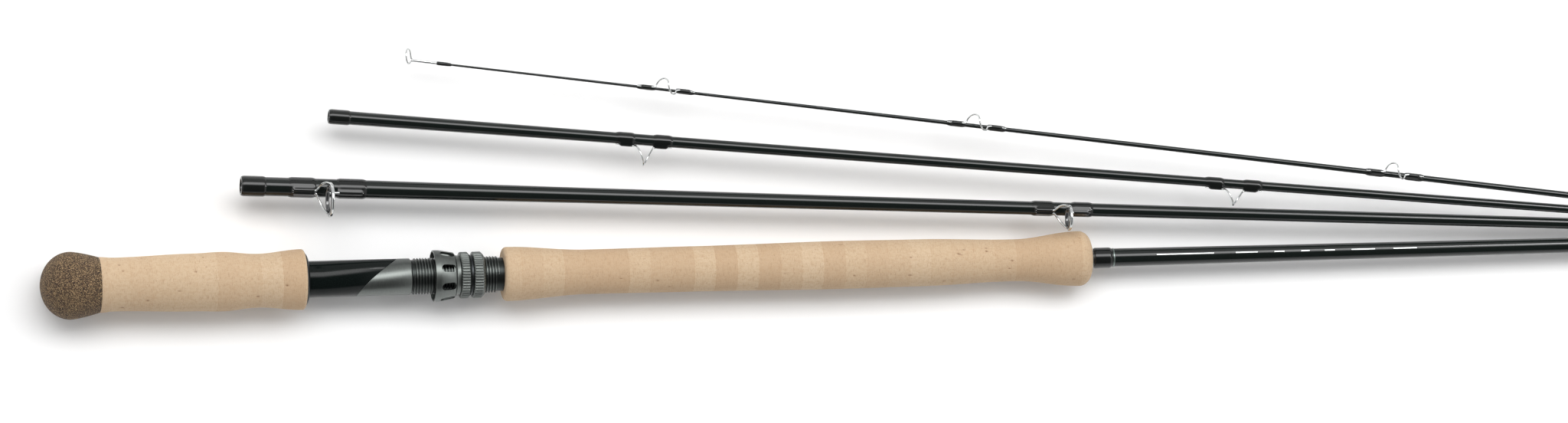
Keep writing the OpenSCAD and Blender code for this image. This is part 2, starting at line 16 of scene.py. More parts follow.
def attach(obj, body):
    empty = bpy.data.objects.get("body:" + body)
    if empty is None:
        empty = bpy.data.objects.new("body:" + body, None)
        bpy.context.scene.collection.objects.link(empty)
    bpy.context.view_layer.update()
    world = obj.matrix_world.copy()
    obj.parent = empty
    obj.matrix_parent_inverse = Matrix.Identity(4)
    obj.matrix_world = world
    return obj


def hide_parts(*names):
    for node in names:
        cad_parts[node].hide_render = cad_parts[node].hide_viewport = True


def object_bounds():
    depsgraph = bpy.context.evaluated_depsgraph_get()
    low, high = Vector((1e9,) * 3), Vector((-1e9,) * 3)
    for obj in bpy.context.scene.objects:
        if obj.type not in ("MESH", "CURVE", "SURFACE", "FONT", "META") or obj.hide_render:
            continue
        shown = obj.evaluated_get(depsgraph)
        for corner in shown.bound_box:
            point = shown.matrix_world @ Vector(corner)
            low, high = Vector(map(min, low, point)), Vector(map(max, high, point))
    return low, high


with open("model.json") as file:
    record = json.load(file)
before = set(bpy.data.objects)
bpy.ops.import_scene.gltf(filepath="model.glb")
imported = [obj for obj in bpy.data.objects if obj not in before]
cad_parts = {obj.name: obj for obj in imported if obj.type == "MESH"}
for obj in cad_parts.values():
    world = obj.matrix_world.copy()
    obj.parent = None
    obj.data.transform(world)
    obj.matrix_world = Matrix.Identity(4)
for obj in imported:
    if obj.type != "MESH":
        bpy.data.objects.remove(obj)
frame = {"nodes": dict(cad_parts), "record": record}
cad_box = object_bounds()

MM = 0.001
TURN = 2 * math.pi

# ---------------------------------------------------------------- sizes, in millimetres

SECTION_LEN = 1015.0
# How far each male end reaches into the next section. A mount lies half way along it.
BUTT_OVERLAP = 66
SECTION_2_OVERLAP = 58
TIP_OVERLAP = 50

# Blanks: (distance along the section, outer diameter)
BUTT_TAPER = [(6, 13.8), (633, 10.65), (742, 9.7), (877, 8.9), (949, 8.4), (1015, 8.4)]
SECTION_2_TAPER = [(0, 11.1), (60, 10.7), (200, 9.1), (500, 7.7), (957, 5.8), (1015, 5.8)]
SECTION_3_TAPER = [(0, 7.95), (160, 6.6), (465, 5.65), (965, 4.4), (1015, 4.4)]
TIP_TAPER = [(8, 1.15), (125, 1.58), (341, 2.43), (665, 3.74), (1015, 5.3)]

# Stations along the butt section
POMMEL_LEN = 34.2
POMMEL_D = 39.2
POMMEL_WIDEST = 17.6
NECK_D = 32.2
POMMEL_FULLNESS = 1.4
SEAT_X = 155.8
SEAT_LEN = 114.6
SEAT_R = 10.6
SEAT_CORE_R = 9.0
POCKET_DEPTH = 18.0
SEAT_EDGE = 37.3
THREAD_X = SEAT_X + 61.6
THREAD_R = 10.52
THREAD_DEPTH = 0.85
THREAD_PITCH = 1.71
HOOD_X = SEAT_X + 73.6
HOOD_LEN = 15.4
HOOD_MOUTH_R = 14.9
HOOD_WALL = 1.3
VENTS = 8
VENT_TURN = 18
VENT_W = 4.6
VENT_FROM = 3.6
VENT_TO = 12.2
NUT_X = HOOD_X + HOOD_LEN
NUT_W = 5.88
NUT_R = 13.45
RIBS = 48
RIB_DEPTH = 0.5
# Shares of a rib's pitch: from its middle to the foot of its flank, and the flank itself
RIB_HALF = 0.37
RIB_FLANK = 0.12
WASHER_X = NUT_X + 5.9
JAM_NUT_X = WASHER_X + 1.5
JAM_NUT_W = 6.8
RUN_R = 10.6
RUN_GAP = 0.07
FOREGRIP_X = SEAT_X + SEAT_LEN
FRONT_X = FOREGRIP_X + 347
FLARE_X = FRONT_X - 7
FLARE_D = 31.9
CORK_RING = 12.7
PIT_DEPTH = 0.35
# Below this radius a grip's vertices belong to its bore
GRIP_CORE_R = 9

# Guides, their wraps, and the ridges that their feet make under the wraps
WIRE_R = 0.5
FOOT_END_R = 0.25
SNAKE_FOOT = 11.0
LEG_R = 0.65
LEG_END_R = 0.3
STRIPPER_BAND_T = 1.3
CERAMIC_T = 1.4
CERAMIC_GAP = 0.02
TIP_LOOP_R = 4.3
WRAP_T = 0.5
WRAP_SLOPE = 2.4
RIDGE_H = 1.02
RIDGE_W = 1.25

# How far the guides turn from straight up towards -Y, and lean along the rod, in degrees
SECTION_2_ROLL = 24
SNAKE_1_ROLL = 12
SECTION_3_ROLL = 70
TIP_ROLL = -20
STRIPPER_LEAN = 3.5
TIP_LOOP_LEAN = 28

# Dashes on the butt blank: (distance along the section, length)
DASHES = [(656, 34), (703, 13), (726, 6), (742, 5), (756, 6), (772, 14), (797, 14)]
DASH_W = 0.6
DASH_TURN = 12


# ---------------------------------------------------------------- where the sections lie


def section_matrix(mount_name, along, way):
    """Takes a section's own millimetres to the frame. The mount lies at `along` on its axis,
    and points along it (way 1) or back (way -1)."""
    mount = next(m for m in frame["record"]["mounts"] if m["name"] == mount_name)
    x = Vector(mount["axis"]).normalized() * way
    y = Vector((0, 0, 1)).cross(x).normalized()
    z = x.cross(y)
    turn = Matrix((x, y, z)).transposed().to_4x4()
    back = Matrix.Translation((-along * MM, 0, 0)) @ Matrix.Scale(MM, 4)
    return Matrix.Translation(mount["pos_m"]) @ turn @ back


SECTIONS = {
    "butt_section": section_matrix("butt_ferrule", SECTION_LEN - BUTT_OVERLAP / 2, 1),
    "section_2": section_matrix("section_2_socket", BUTT_OVERLAP / 2, -1),
    "section_3": section_matrix("section_3_socket", SECTION_2_OVERLAP / 2, -1),
    "tip_section": section_matrix("tip_socket", SECTION_LEN - TIP_OVERLAP / 2, 1),
}


# ---------------------------------------------------------------- materials


def colour(hex_code):
    """Linear RGBA from an sRGB hex value."""
    parts = [int(hex_code[i : i + 2], 16) / 255 for i in (1, 3, 5)]
    linear = [c / 12.92 if c <= 0.04045 else ((c + 0.055) / 1.055) ** 2.4 for c in parts]
    return (*linear, 1.0)


def add(tree, kind, settings=None, links=None):
    """Adds a node. Settings are its properties or its sockets' values, links are what feeds its sockets."""
    made = tree.nodes.new(kind)
    for key, value in (settings or {}).items():
        if isinstance(key, int) or key in made.inputs:
            made.inputs[key].default_value = value
        else:
            setattr(made, key, value)
    for key, source in (links or {}).items():
        tree.links.new(source, made.inputs[key])
    return made


def new_material(name, shader_settings):
    """A material with a Principled shader, and the tree, shader and Object coordinates to build on."""
    material = bpy.data.materials.new(name)
    material.use_nodes = True
    tree = material.node_tree
    tree.nodes.clear()
    shader = add(tree, "ShaderNodeBsdfPrincipled", shader_settings)
    add(tree, "ShaderNodeOutputMaterial", links={"Surface": shader.outputs["BSDF"]})
    return material, tree, shader


def coordinates(tree, scale, kind="Object"):
    """Coordinates for a pattern. On Object coordinates the scale counts pattern units in a metre, so
    640 makes grains of 1.6 mm. On UV it counts them in a millimetre along the section."""
    source = add(tree, "ShaderNodeTexCoord").outputs[kind]
    return add(tree, "ShaderNodeMapping", {"Scale": scale}, {"Vector": source}).outputs[0]


def ramp(tree, source, stops):
    """A colour ramp through (position, hex colour) stops."""
    made = add(tree, "ShaderNodeValToRGB", links={"Fac": source})
    elements = made.color_ramp.elements
    while len(elements) < len(stops):
        elements.new(0.5)
    for element, (position, hex_code) in zip(elements, stops):
        element.position = position
        element.color = colour(hex_code)
    return made.outputs["Color"]


def mix(tree, share, a, b, blend="MIX"):
    """Mixes two colours. A colour is a socket or a hex value, and share is a socket or a number."""
    made = add(tree, "ShaderNodeMix", {"data_type": "RGBA", "blend_type": blend})
    for socket, value in ((0, share), (6, a), (7, b)):
        if isinstance(value, str):
            made.inputs[socket].default_value = colour(value)
        elif isinstance(value, (int, float)):
            made.inputs[socket].default_value = value
        else:
            tree.links.new(value, made.inputs[socket])
    return made.outputs[2]


def span(tree, source, low, high, out_low=0.0, out_high=1.0):
    """Takes low..high to out_low..out_high, and holds the ends."""
    settings = {1: low, 2: high, 3: out_low, 4: out_high}
    return add(tree, "ShaderNodeMapRange", settings, {0: source}).outputs[0]


def bump(tree, shader, height, strength, depth_mm):
    """Bump from a height of 0 to 1, depth_mm deep."""
    settings = {"Strength": strength, "Distance": depth_mm * MM}
    made = add(tree, "ShaderNodeBump", settings, {"Height": height})
    tree.links.new(made.outputs[0], shader.inputs["Normal"])


def natural_cork():
    """Natural cork rings, glued up, turned and sanded: a matt tan with a slightly different tone in
    each ring, soft darker growth streaks across the grip, short brown pores along it, and faint glue
    lines between the rings."""
    material, tree, shader = new_material("natural_cork_sanded", {"Roughness": 0.78, "IOR": 1.45})
    along = add(tree, "ShaderNodeSeparateXYZ", links={0: coordinates(tree, [1 / (CORK_RING * MM)] * 3)})
    ring = add(tree, "ShaderNodeMath", {"operation": "FLOOR"}, {0: along.outputs["X"]}).outputs[0]
    tone = add(tree, "ShaderNodeTexWhiteNoise", {"noise_dimensions": "1D"}, {"W": ring}).outputs["Value"]
    base = ramp(tree, tone, [(0.0, "#b79d7f"), (0.35, "#bda588"), (0.7, "#c0a98c"), (1.0, "#c4ae92")])
    cloud_at = coordinates(tree, [90, 160, 160])
    clouds = add(tree, "ShaderNodeTexNoise", {"Detail": 5.0, "Roughness": 0.6}, {"Vector": cloud_at})
    clouded = mix(tree, span(tree, clouds.outputs["Fac"], 0.42, 0.72, 0.0, 0.5), base, "#af906e")
    grain_at = coordinates(tree, [700, 1100, 1100])
    grain = add(tree, "ShaderNodeTexNoise", {"Detail": 3.0}, {"Vector": grain_at}).outputs["Fac"]
    grained = mix(tree, span(tree, grain, 0.5, 0.75, 0.0, 0.4), clouded, "#a48465")
    # Growth streaks, about 2 mm wide and 13 mm long
    streak_at = coordinates(tree, [420, 75, 75])
    streaks = add(tree, "ShaderNodeTexNoise", {"Detail": 4.0, "Roughness": 0.65}, {"Vector": streak_at})
    streaked = mix(tree, span(tree, streaks.outputs["Fac"], 0.54, 0.74, 0.0, 0.7), grained, "#97795a")
    # Pores: cells about 6 mm long and 2.5 mm wide, each with a small dark middle where noise allows
    pore_at = coordinates(tree, [170, 420, 420])
    cells = add(tree, "ShaderNodeTexVoronoi", {"Randomness": 1.0}, {"Vector": pore_at})
    spot = span(tree, cells.outputs["Distance"], 0.10, 0.24, 1.0, 0.0)
    chosen = span(tree, add(tree, "ShaderNodeSeparateColor", links={0: cells.outputs["Color"]}).outputs[0],
                  0.60, 0.72, 0.0, 1.0)
    pores = add(tree, "ShaderNodeMath", {"operation": "MULTIPLY"}, {0: spot, 1: chosen}).outputs[0]
    pored = mix(tree, span(tree, pores, 0.0, 1.0, 0.0, 0.75), streaked, "#7c5a3a")
    # Glue lines, 0.25 mm wide
    place = add(tree, "ShaderNodeMath", {"operation": "FRACT"}, {0: along.outputs["X"]}).outputs[0]
    line = span(tree, place, 0.0, 0.02, 1.0, 0.0)
    broken = span(tree, clouds.outputs["Fac"], 0.35, 0.6, 0.0, 0.5)
    glue = add(tree, "ShaderNodeMath", {"operation": "MULTIPLY"}, {0: line, 1: broken}).outputs[0]
    lined = mix(tree, glue, pored, "#a67a4f")
    dent = add(tree, "ShaderNodeAttribute", {"attribute_name": "pit"}).outputs["Fac"]
    final = mix(tree, span(tree, dent, 0.25, 0.9, 0.0, 0.85), lined, "#70492a")
    tree.links.new(final, shader.inputs["Base Color"])
    height = add(tree, "ShaderNodeMath", {"operation": "SUBTRACT"}, {0: grain, 1: pores}).outputs[0]
    bump(tree, shader, height, 0.35, 0.25)
    return material


def cork_composite():
    """Rubberised cork, moulded from granules of 1 to 2 mm and sanded: a brown speckle of tan and
    near-black grains with a matt, slightly open surface."""
    material, tree, shader = new_material("rubber_cork_composite", {"Roughness": 0.82, "IOR": 1.48})
    at = coordinates(tree, [640] * 3)
    cells = add(tree, "ShaderNodeTexVoronoi", {"Randomness": 1.0}, {"Vector": at})
    tone = add(tree, "ShaderNodeSeparateColor", links={0: cells.outputs["Color"]}).outputs[0]
    base = ramp(tree, tone, [(0.0, "#150f0a"), (0.35, "#32251a"), (0.6, "#503c2b"), (0.8, "#7f6546"),
                             (1.0, "#b99d72")])
    fine_at = coordinates(tree, [1500] * 3)
    fine = add(tree, "ShaderNodeTexNoise", {"Detail": 2.0}, {"Vector": fine_at}).outputs["Fac"]
    final = mix(tree, span(tree, fine, 0.52, 0.7, 0.0, 0.6), base, "#2c2219")
    tree.links.new(final, shader.inputs["Base Color"])
    bump(tree, shader, fine, 0.5, 0.3)
    return material


def lacquered_carbon(name, hex_low, hex_high, specular):
    """A carbon tube under gloss lacquer: green-black, deep and smooth, with the faint slow bands
    that the wrapping tape leaves under the coat."""
    settings = {
        "Roughness": 0.16, "IOR": 1.5, "Specular IOR Level": specular,
        "Coat Weight": specular, "Coat Roughness": 0.04,
    }
    material, tree, shader = new_material(name, settings)
    at = coordinates(tree, [260, 900, 900])
    bands = add(tree, "ShaderNodeTexNoise", {"Detail": 4.0, "Roughness": 0.55}, {"Vector": at})
    base = mix(tree, span(tree, bands.outputs["Fac"], 0.35, 0.7), hex_low, hex_high)
    tree.links.new(base, shader.inputs["Base Color"])
    bump(tree, shader, bands.outputs["Fac"], 0.12, 0.05)
    return material


def thread_under_epoxy():
    """Black nylon thread, wound close and covered with clear epoxy. A winding is 0.15 mm, drawn at
    0.4 mm so that it shows as the faint ribbing under the gloss."""
    settings = {
        "Roughness": 0.4, "IOR": 1.5, "Specular IOR Level": 0.05,
        "Coat Weight": 0.8, "Coat Roughness": 0.05,
    }
    material, tree, shader = new_material("thread_under_epoxy", settings)
    along = add(tree, "ShaderNodeSeparateXYZ", links={0: coordinates(tree, [1 / 0.4, 1, 1], "UV")})
    wave = add(tree, "ShaderNodeMath", {"operation": "PINGPONG", 1: 0.5}, {0: along.outputs["X"]}).outputs[0]
    base = mix(tree, span(tree, wave, 0.0, 0.5), "#060807", "#101312")
    tree.links.new(base, shader.inputs["Base Color"])
    bump(tree, shader, wave, 0.04, 0.1)
    return material


def turned_metal(name, hex_low, hex_high, roughness, line_mm=0.35):
    """Turned and anodised aluminium: satin, with fine lines round the part from the lathe, and
    painted shade: a darker grey where an attribute marks the roots of a thread."""
    material, tree, shader = new_material(name, {"Metallic": 1.0, "Roughness": roughness})
    at = coordinates(tree, [1 / (line_mm * MM), 60, 60])
    lines = add(tree, "ShaderNodeTexNoise", {"Detail": 3.0, "Roughness": 0.7}, {"Vector": at}).outputs["Fac"]
    base = mix(tree, span(tree, lines, 0.3, 0.7), hex_low, hex_high)
    # Painted shade: where the thread's roots are marked, the colour goes to dark grey #353837, as if shade
    # lay in them.
    thread_root_shade = add(tree, "ShaderNodeAttribute", {"attribute_name": "thread_root_shade"}).outputs["Fac"]
    tree.links.new(mix(tree, thread_root_shade, base, "#353837"), shader.inputs["Base Color"])
    rough = span(tree, lines, 0.25, 0.75, roughness - 0.05, roughness + 0.07)
    tree.links.new(rough, shader.inputs["Roughness"])
    bump(tree, shader, lines, 0.05, 0.02)
    return material


def hard_chrome():
    """Hard chrome on guide wire: a bright mirror with faint drawing marks."""
    material, tree, shader = new_material("hard_chrome_wire", {"Metallic": 1.0, "Roughness": 0.14})
    marks = add(tree, "ShaderNodeTexNoise", {"Detail": 2.0}, {"Vector": coordinates(tree, [900, 900, 900])})
    base = mix(tree, span(tree, marks.outputs["Fac"], 0.35, 0.65), "#b9bcbc", "#dfe1e0")
    tree.links.new(base, shader.inputs["Base Color"])
    tree.links.new(span(tree, marks.outputs["Fac"], 0.3, 0.7, 0.10, 0.20), shader.inputs["Roughness"])
    return material


def polished_ceramic():
    """Polished zirconia ring: near-black, glassy, slightly warm where light goes in."""
    settings = {"Roughness": 0.08, "IOR": 2.1, "Specular IOR Level": 0.5}
    material, tree, shader = new_material("polished_zirconia", settings)
    cloud = add(tree, "ShaderNodeTexNoise", {"Detail": 2.0}, {"Vector": coordinates(tree, [500, 500, 500])})
    base = mix(tree, span(tree, cloud.outputs["Fac"], 0.4, 0.6), "#141516", "#26282a")
    tree.links.new(base, shader.inputs["Base Color"])
    return material


def silver_paint():
    """Silver ink, printed on the blank before the last coat: flake in lacquer, slightly uneven."""
    material, tree, shader = new_material("silver_ink", {"Metallic": 0.5, "Roughness": 0.4})
    flake = add(tree, "ShaderNodeTexNoise", {"Detail": 2.0}, {"Vector": coordinates(tree, [3000] * 3)})
    base = mix(tree, span(tree, flake.outputs["Fac"], 0.4, 0.6), "#a9aeae", "#e3e6e4")
    tree.links.new(base, shader.inputs["Base Color"])
    return material


FINISHES = {
    "cork": natural_cork(),
    "cork_composite": cork_composite(),
    "carbon_blank": lacquered_carbon("green_black_lacquer", "#070a09", "#111a17", 0.32),
    "seat_lacquer": lacquered_carbon("seat_lacquer", "#060a09", "#0e1514", 0.12),
    "thread_wrap": thread_under_epoxy(),
    "gunmetal_aluminium": turned_metal("gunmetal_anodised", "#606462", "#757976", 0.36),
    "dark_aluminium": turned_metal("dark_anodised", "#2f3132", "#414445", 0.36),
    "bright_aluminium": turned_metal("polished_aluminium", "#d2d0ca", "#eceae4", 0.18),
    "trim_band": turned_metal("metallic_trim_thread", "#5f6a66", "#8b9591", 0.3, 0.15),
    "guide_chrome": hard_chrome(),
    "guide_ceramic": polished_ceramic(),
    "arbor_cork": None,
}
FINISHES["arbor_cork"] = FINISHES["cork"]


# ---------------------------------------------------------------- shaping


def turned(bm, profile, steps=96, closed=False):
    """Turns a profile of (x, radius) about the x axis. A closed profile is a ring's section."""
    verts = [bm.verts.new((x, 0, r)) for x, r in profile]
    edges = [bm.edges.new(pair) for pair in zip(verts, verts[1:])]
    if closed:
        edges.append(bm.edges.new((verts[-1], verts[0])))
    old = set(bm.verts) - set(verts)
    bmesh.ops.spin(
        bm, geom=verts + edges, cent=(0, 0, 0), axis=(1, 0, 0), dvec=(0, 0, 0),
        angle=TURN, steps=steps, use_merge=True, use_duplicate=False,
    )
    fresh = [v for v in bm.verts if v not in old]
    bmesh.ops.remove_doubles(bm, verts=fresh, dist=1e-4)
    fresh = [v for v in bm.verts if v not in old]
    bmesh.ops.recalc_face_normals(bm, faces=list({f for v in fresh for f in v.link_faces}))
    return fresh


def write_uv(bm):
    """UV in millimetres: distance along the section, and share of a turn round it."""
    layer = bm.loops.layers.uv.new("along_and_round")
    for face in bm.faces:
        rounds = [math.atan2(loop.vert.co.y, loop.vert.co.z) / TURN for loop in face.loops]
        crosses = max(rounds) - min(rounds) > 0.5
        for loop, share in zip(face.loops, rounds):
            loop[layer].uv = (loop.vert.co.x, share + 1 if crosses and share < 0 else share)


def piece(name, bm, section, slot, replaced=(), body=None, sharp=38, bevel_mm=0.0, material=None):
    """Makes a finished object of bm: smooth but for edges sharper than `sharp` degrees, laid on its
    section, riding on its body, and standing for the CAD nodes named in replaced."""
    write_uv(bm)
    for face in bm.faces:
        face.smooth = True
    for edge in bm.edges:
        edge.smooth = edge.calc_face_angle(0) < math.radians(sharp)
    bm.transform(SECTIONS[section])
    mesh = bpy.data.meshes.new(name)
    bm.to_mesh(mesh)
    bm.free()
    mesh.materials.append(material or FINISHES[slot])
    made = bpy.data.objects.new(name, mesh)
    bpy.context.scene.collection.objects.link(made)
    if bevel_mm:
        bevel = made.modifiers.new("edges", "BEVEL")
        bevel.width = bevel_mm * MM
        bevel.segments = 2
        bevel.limit_method = "ANGLE"
        bevel.angle_limit = math.radians(sharp)
    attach(made, body or section)
    if replaced:
        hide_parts(*replaced)
    return made


def radius_at(taper, x):
    """A blank's outer radius at x."""
    if x <= taper[0][0]:
        return taper[0][1] / 2
    for (x1, d1), (x2, d2) in zip(taper, taper[1:]):
        if x <= x2:
            return (d1 + (d2 - d1) * (x - x1) / (x2 - x1)) / 2
    return taper[-1][1] / 2


def eased(points, steps):
    """A smooth profile through points of (x, diameter)."""
    profile = []
    for (x1, d1), (x2, d2) in zip(points, points[1:]):
        for i in range(steps):
            t = i / steps
            profile.append((x1 + (x2 - x1) * t, (d1 + (d2 - d1) * (1 - math.cos(math.pi * t)) / 2) / 2))
    return profile + [(points[-1][0], points[-1][1] / 2)]


def quarter(x, r, length, drop, steps):
    """A quarter ellipse from its widest point at x, r towards the right."""
    angles = [math.pi / 2 * i / steps for i in range(1, steps + 1)]
    return [(x + length * math.sin(a), r - drop * (1 - math.cos(a))) for a in angles]


def wire(bm, points, radii, sides=14):
    """A round wire swept along points, turned as little as possible from one to the next."""
    points = [Vector(p) for p in points]
    last = len(points) - 1
    ring = bmesh.ops.create_circle(bm, cap_ends=False, radius=1, segments=sides)["verts"]
    start_edges = list({e for v in ring for e in v.link_edges})
    edges, placed, side = start_edges, Matrix.Identity(4), Vector((0.31, 0.17, -0.93))
    fresh = list(ring)
    for i, point in enumerate(points):
        tangent = (points[min(i + 1, last)] - points[max(i - 1, 0)]).normalized()
        side = (side - side.dot(tangent) * tangent).normalized()
        turn = Matrix((side, tangent.cross(side), tangent)).transposed().to_4x4()
        place = Matrix.Translation(point) @ turn @ Matrix.Scale(radii[i], 4)
        if i:
            made = bmesh.ops.extrude_edge_only(bm, edges=edges)["geom"]
            ring = [g for g in made if isinstance(g, bmesh.types.BMVert)]
            edges = [g for g in made if isinstance(g, bmesh.types.BMEdge) and set(g.verts) <= set(ring)]
            fresh += ring
        bmesh.ops.transform(bm, matrix=place @ placed.inverted(), verts=ring)
        placed = place
    bmesh.ops.edgeloop_fill(bm, edges=start_edges)
    bmesh.ops.edgeloop_fill(bm, edges=edges)
    faces = list({f for v in fresh for f in v.link_faces})
    bmesh.ops.recalc_face_normals(bm, faces=faces)
    return fresh


def roll(bm, verts, degrees):
    """Turns verts about the section's axis, from straight up towards -Y."""
    bmesh.ops.rotate(bm, verts=verts, cent=(0, 0, 0), matrix=Matrix.Rotation(math.radians(degrees), 3, "X"))


# ---------------------------------------------------------------- grips


def pit_grip(bm, x1, x2, count, seed):
    """Presses small open pores of 0.5 to 1.15 mm, longer than wide, into a grip's surface, and marks
    them in the attribute `pit`."""
    layer = bm.verts.layers.float.new("pit")
    draw = random.Random(seed)
    pits = [(draw.uniform(x1, x2), draw.uniform(-math.pi, math.pi), draw.uniform(0.5, 1.15),
             draw.uniform(1.0, 2.2)) for _ in range(count)]
    for vert in bm.verts:
        radius = math.hypot(vert.co.y, vert.co.z)
        if radius < GRIP_CORE_R:
            continue
        angle = math.atan2(vert.co.y, vert.co.z)
        for x, a, size, stretch in pits:
            dx = (vert.co.x - x) / (size * stretch)
            if abs(dx) > 1.5:
                continue
            da = (angle - a + math.pi) % TURN - math.pi
            depth = math.exp(-2.5 * (dx * dx + (da * radius / size) ** 2))
            vert[layer] = max(vert[layer], depth)
        pressed = 1 - PIT_DEPTH * vert[layer] / radius
        vert.co.y *= pressed
        vert.co.z *= pressed


def grip(name, profile, pits, seed):
    bm = bmesh.new()
    turned(bm, profile, steps=200)
    pit_grip(bm, profile[1][0] + 2, profile[-2][0] - 2, pits, seed)
    piece(name + "_finished", bm, "butt_section", "cork", [name])


def build_pommel():
    r = POMMEL_D / 2
    rear = [(POMMEL_WIDEST * (1 - math.cos(a)), r * math.sin(a))
            for a in (math.pi / 2 * i / 32 for i in range(33))]
    front = [(POMMEL_WIDEST + (POMMEL_LEN - POMMEL_WIDEST) * t, r - (r - NECK_D / 2) * t**POMMEL_FULLNESS)
             for t in (i / 24 for i in range(1, 25))]
    bm = bmesh.new()
    turned(bm, rear + front + [(POMMEL_LEN, 6.9)], steps=128)
    piece("pommel_finished", bm, "butt_section", "cork_composite", ["pommel"])


def build_rear_grip():
    x = POMMEL_LEN
    end = SEAT_X - 3.2
    body = eased([(x + 0.02, NECK_D), (x + 9, 31.1), (x + 55, 33.4), (x + 71, 34.4), (x + 93, 31.1),
                  (end, 35.1)], 26)
    lip = quarter(end, 17.55, 1.58, 2.0, 8)
    grip("rear_grip", [(x + 0.02, 7.0)] + body + lip + [(lip[-1][0], 10.7)], 26, 11)


def build_foregrip():
    x = FOREGRIP_X
    heel = [(x, 13.2)] + [(x + 2.5 * (1 - math.cos(a)), 13.2 + 2.45 * math.sin(a))
                          for a in (math.pi / 2 * i / 8 for i in range(1, 8))]
    body = eased([(x + 2.5, 31.3), (x + 49.5, 25.8), (x + 111, 26.3), (x + 201, 27.9), (x + 245, 27.3),
                  (x + 302, 24.3), (FLARE_X, FLARE_D)], 34)
    dome = quarter(FLARE_X, FLARE_D / 2, FRONT_X - FLARE_X, FLARE_D / 2 - 7.9, 14)
    grip("foregrip", [(x, 8.0)] + heel + body + dome + [(FRONT_X, 5.6)], 64, 23)


# ---------------------------------------------------------------- reel seat


def seat_edge(y):
    """Where the lacquered tube meets the metal one: the distance from the seat's left end."""
    return SEAT_X + SEAT_EDGE + 1.17 * y + 0.028 * y * y


def shape_edge(bm, marker, gap):
    """Moves the verts at x near `marker` onto the curved edge, each keeping its step from the marker."""
    for vert in bm.verts:
        step = vert.co.x - marker
        if abs(step) < 1:
            vert.co.x = seat_edge(vert.co.y) + step + gap


def build_seat():
    steps = 144
    edge = SEAT_X + SEAT_EDGE
    bore = SEAT_CORE_R - 1.2
    lacquer = [(SEAT_X - POCKET_DEPTH - 1, bore), (SEAT_X - POCKET_DEPTH - 1, SEAT_R), (SEAT_X + 8, SEAT_R),
               (edge - 0.25, SEAT_R), (edge - 0.08, SEAT_R - 0.07), (edge, SEAT_R - 0.25),
               (edge, SEAT_CORE_R - 0.1)]
    bm = bmesh.new()
    turned(bm, lacquer + [(SEAT_X + SEAT_LEN - 0.5, SEAT_CORE_R - 0.1), (SEAT_X + SEAT_LEN - 0.5, bore)],
           steps=steps, closed=True)
    shape_edge(bm, edge, -0.02)
    piece("seat_insert_finished", bm, "butt_section", "seat_lacquer", ["seat_insert"])

    root = THREAD_R - THREAD_DEPTH
    bm = bmesh.new()
    barrel = [(edge, SEAT_CORE_R), (edge, SEAT_R - 0.25), (edge + 0.08, SEAT_R - 0.07),
              (edge + 0.25, SEAT_R), (THREAD_X - 1.9, SEAT_R), (THREAD_X - 1.6, SEAT_R - 0.12),
              (THREAD_X - 1.1, root), (FOREGRIP_X - 0.05, root), (FOREGRIP_X - 0.05, SEAT_CORE_R)]
    turned(bm, barrel, steps=steps, closed=True)
    shape_edge(bm, edge, 0.02)
    add_thread(bm, root)
    # Marks the thread's roots, also those under the hood's vents, for the painted shade in the metal's
    # colour.
    thread_root_shade = bm.verts.layers.float.new("thread_root_shade")
    for vert in bm.verts:
        vert[thread_root_shade] = vert.co.x > THREAD_X - 1.2 and math.hypot(vert.co.y, vert.co.z) < root + 0.2
    piece("seat_barrel_finished", bm, "butt_section", "gunmetal_aluminium", ["seat_barrel"])


def add_thread(bm, root):
    """The thread's ridge, a closed bar wound round the barrel."""
    pitch = THREAD_PITCH
    per_turn = 72
    turns = int((FOREGRIP_X - THREAD_X) / pitch) - 1
    # Its section: (distance along, in pitches, and radius)
    section = [(-0.3, root - 0.1), (-0.2, root + 0.1), (-0.09, THREAD_R), (0.09, THREAD_R), (0.2, root + 0.1),
               (0.3, root - 0.1)]
    verts = [bm.verts.new((THREAD_X + x * pitch, 0, r)) for x, r in section]
    face = bm.faces.new(verts)
    old = set(bm.verts) - set(verts)
    bmesh.ops.spin(
        bm, geom=[face, *face.edges, *verts], cent=(0, 0, 0), axis=(1, 0, 0), dvec=(pitch / per_turn, 0, 0),
        angle=TURN * turns, steps=per_turn * turns, use_merge=False, use_duplicate=False,
    )
    faces = list({f for v in bm.verts if v not in old for f in v.link_faces})
    bmesh.ops.recalc_face_normals(bm, faces=faces)


def build_fixed_hood():
    """The flange and the lined pocket below it keep their CAD shape, with a small bevel."""
    node = frame["nodes"]["fixed_hood"]
    copy = node.data.copy()
    bm = bmesh.new()
    bm.from_mesh(copy)
    bmesh.ops.remove_doubles(bm, verts=bm.verts, dist=1e-6)
    bm.transform(SECTIONS["butt_section"].inverted())
    piece("fixed_hood_finished", bm, "butt_section", "dark_aluminium", ["fixed_hood"],
          sharp=30, bevel_mm=0.12)
    bpy.data.meshes.remove(copy)


def vent_cutter():
    """Oval prisms, standing round the hood where its vents go."""
    bm = bmesh.new()
    sides = 32
    tall = 8
    for i in range(VENTS):
        bar = bmesh.ops.create_cone(
            bm, cap_ends=True, segments=sides, radius1=VENT_W / 2, radius2=VENT_W / 2, depth=tall,
        )["verts"]
        # Half a side's turn leaves no corner in the middle, so the halves pull apart evenly.
        bmesh.ops.rotate(bm, verts=bar, cent=(0, 0, 0), matrix=Matrix.Rotation(math.pi / sides, 3, "Z"))
        far_half = [v for v in bar if v.co.x > 0]
        bmesh.ops.translate(bm, verts=far_half, vec=(VENT_TO - VENT_FROM - VENT_W, 0, 0))
        middle = (HOOD_X + VENT_FROM + VENT_W / 2, 0, SEAT_R + 0.55 + tall / 2)
        bmesh.ops.translate(bm, verts=bar, vec=middle)
        roll(bm, bar, i * 360 / VENTS - VENT_TURN)
    return bm


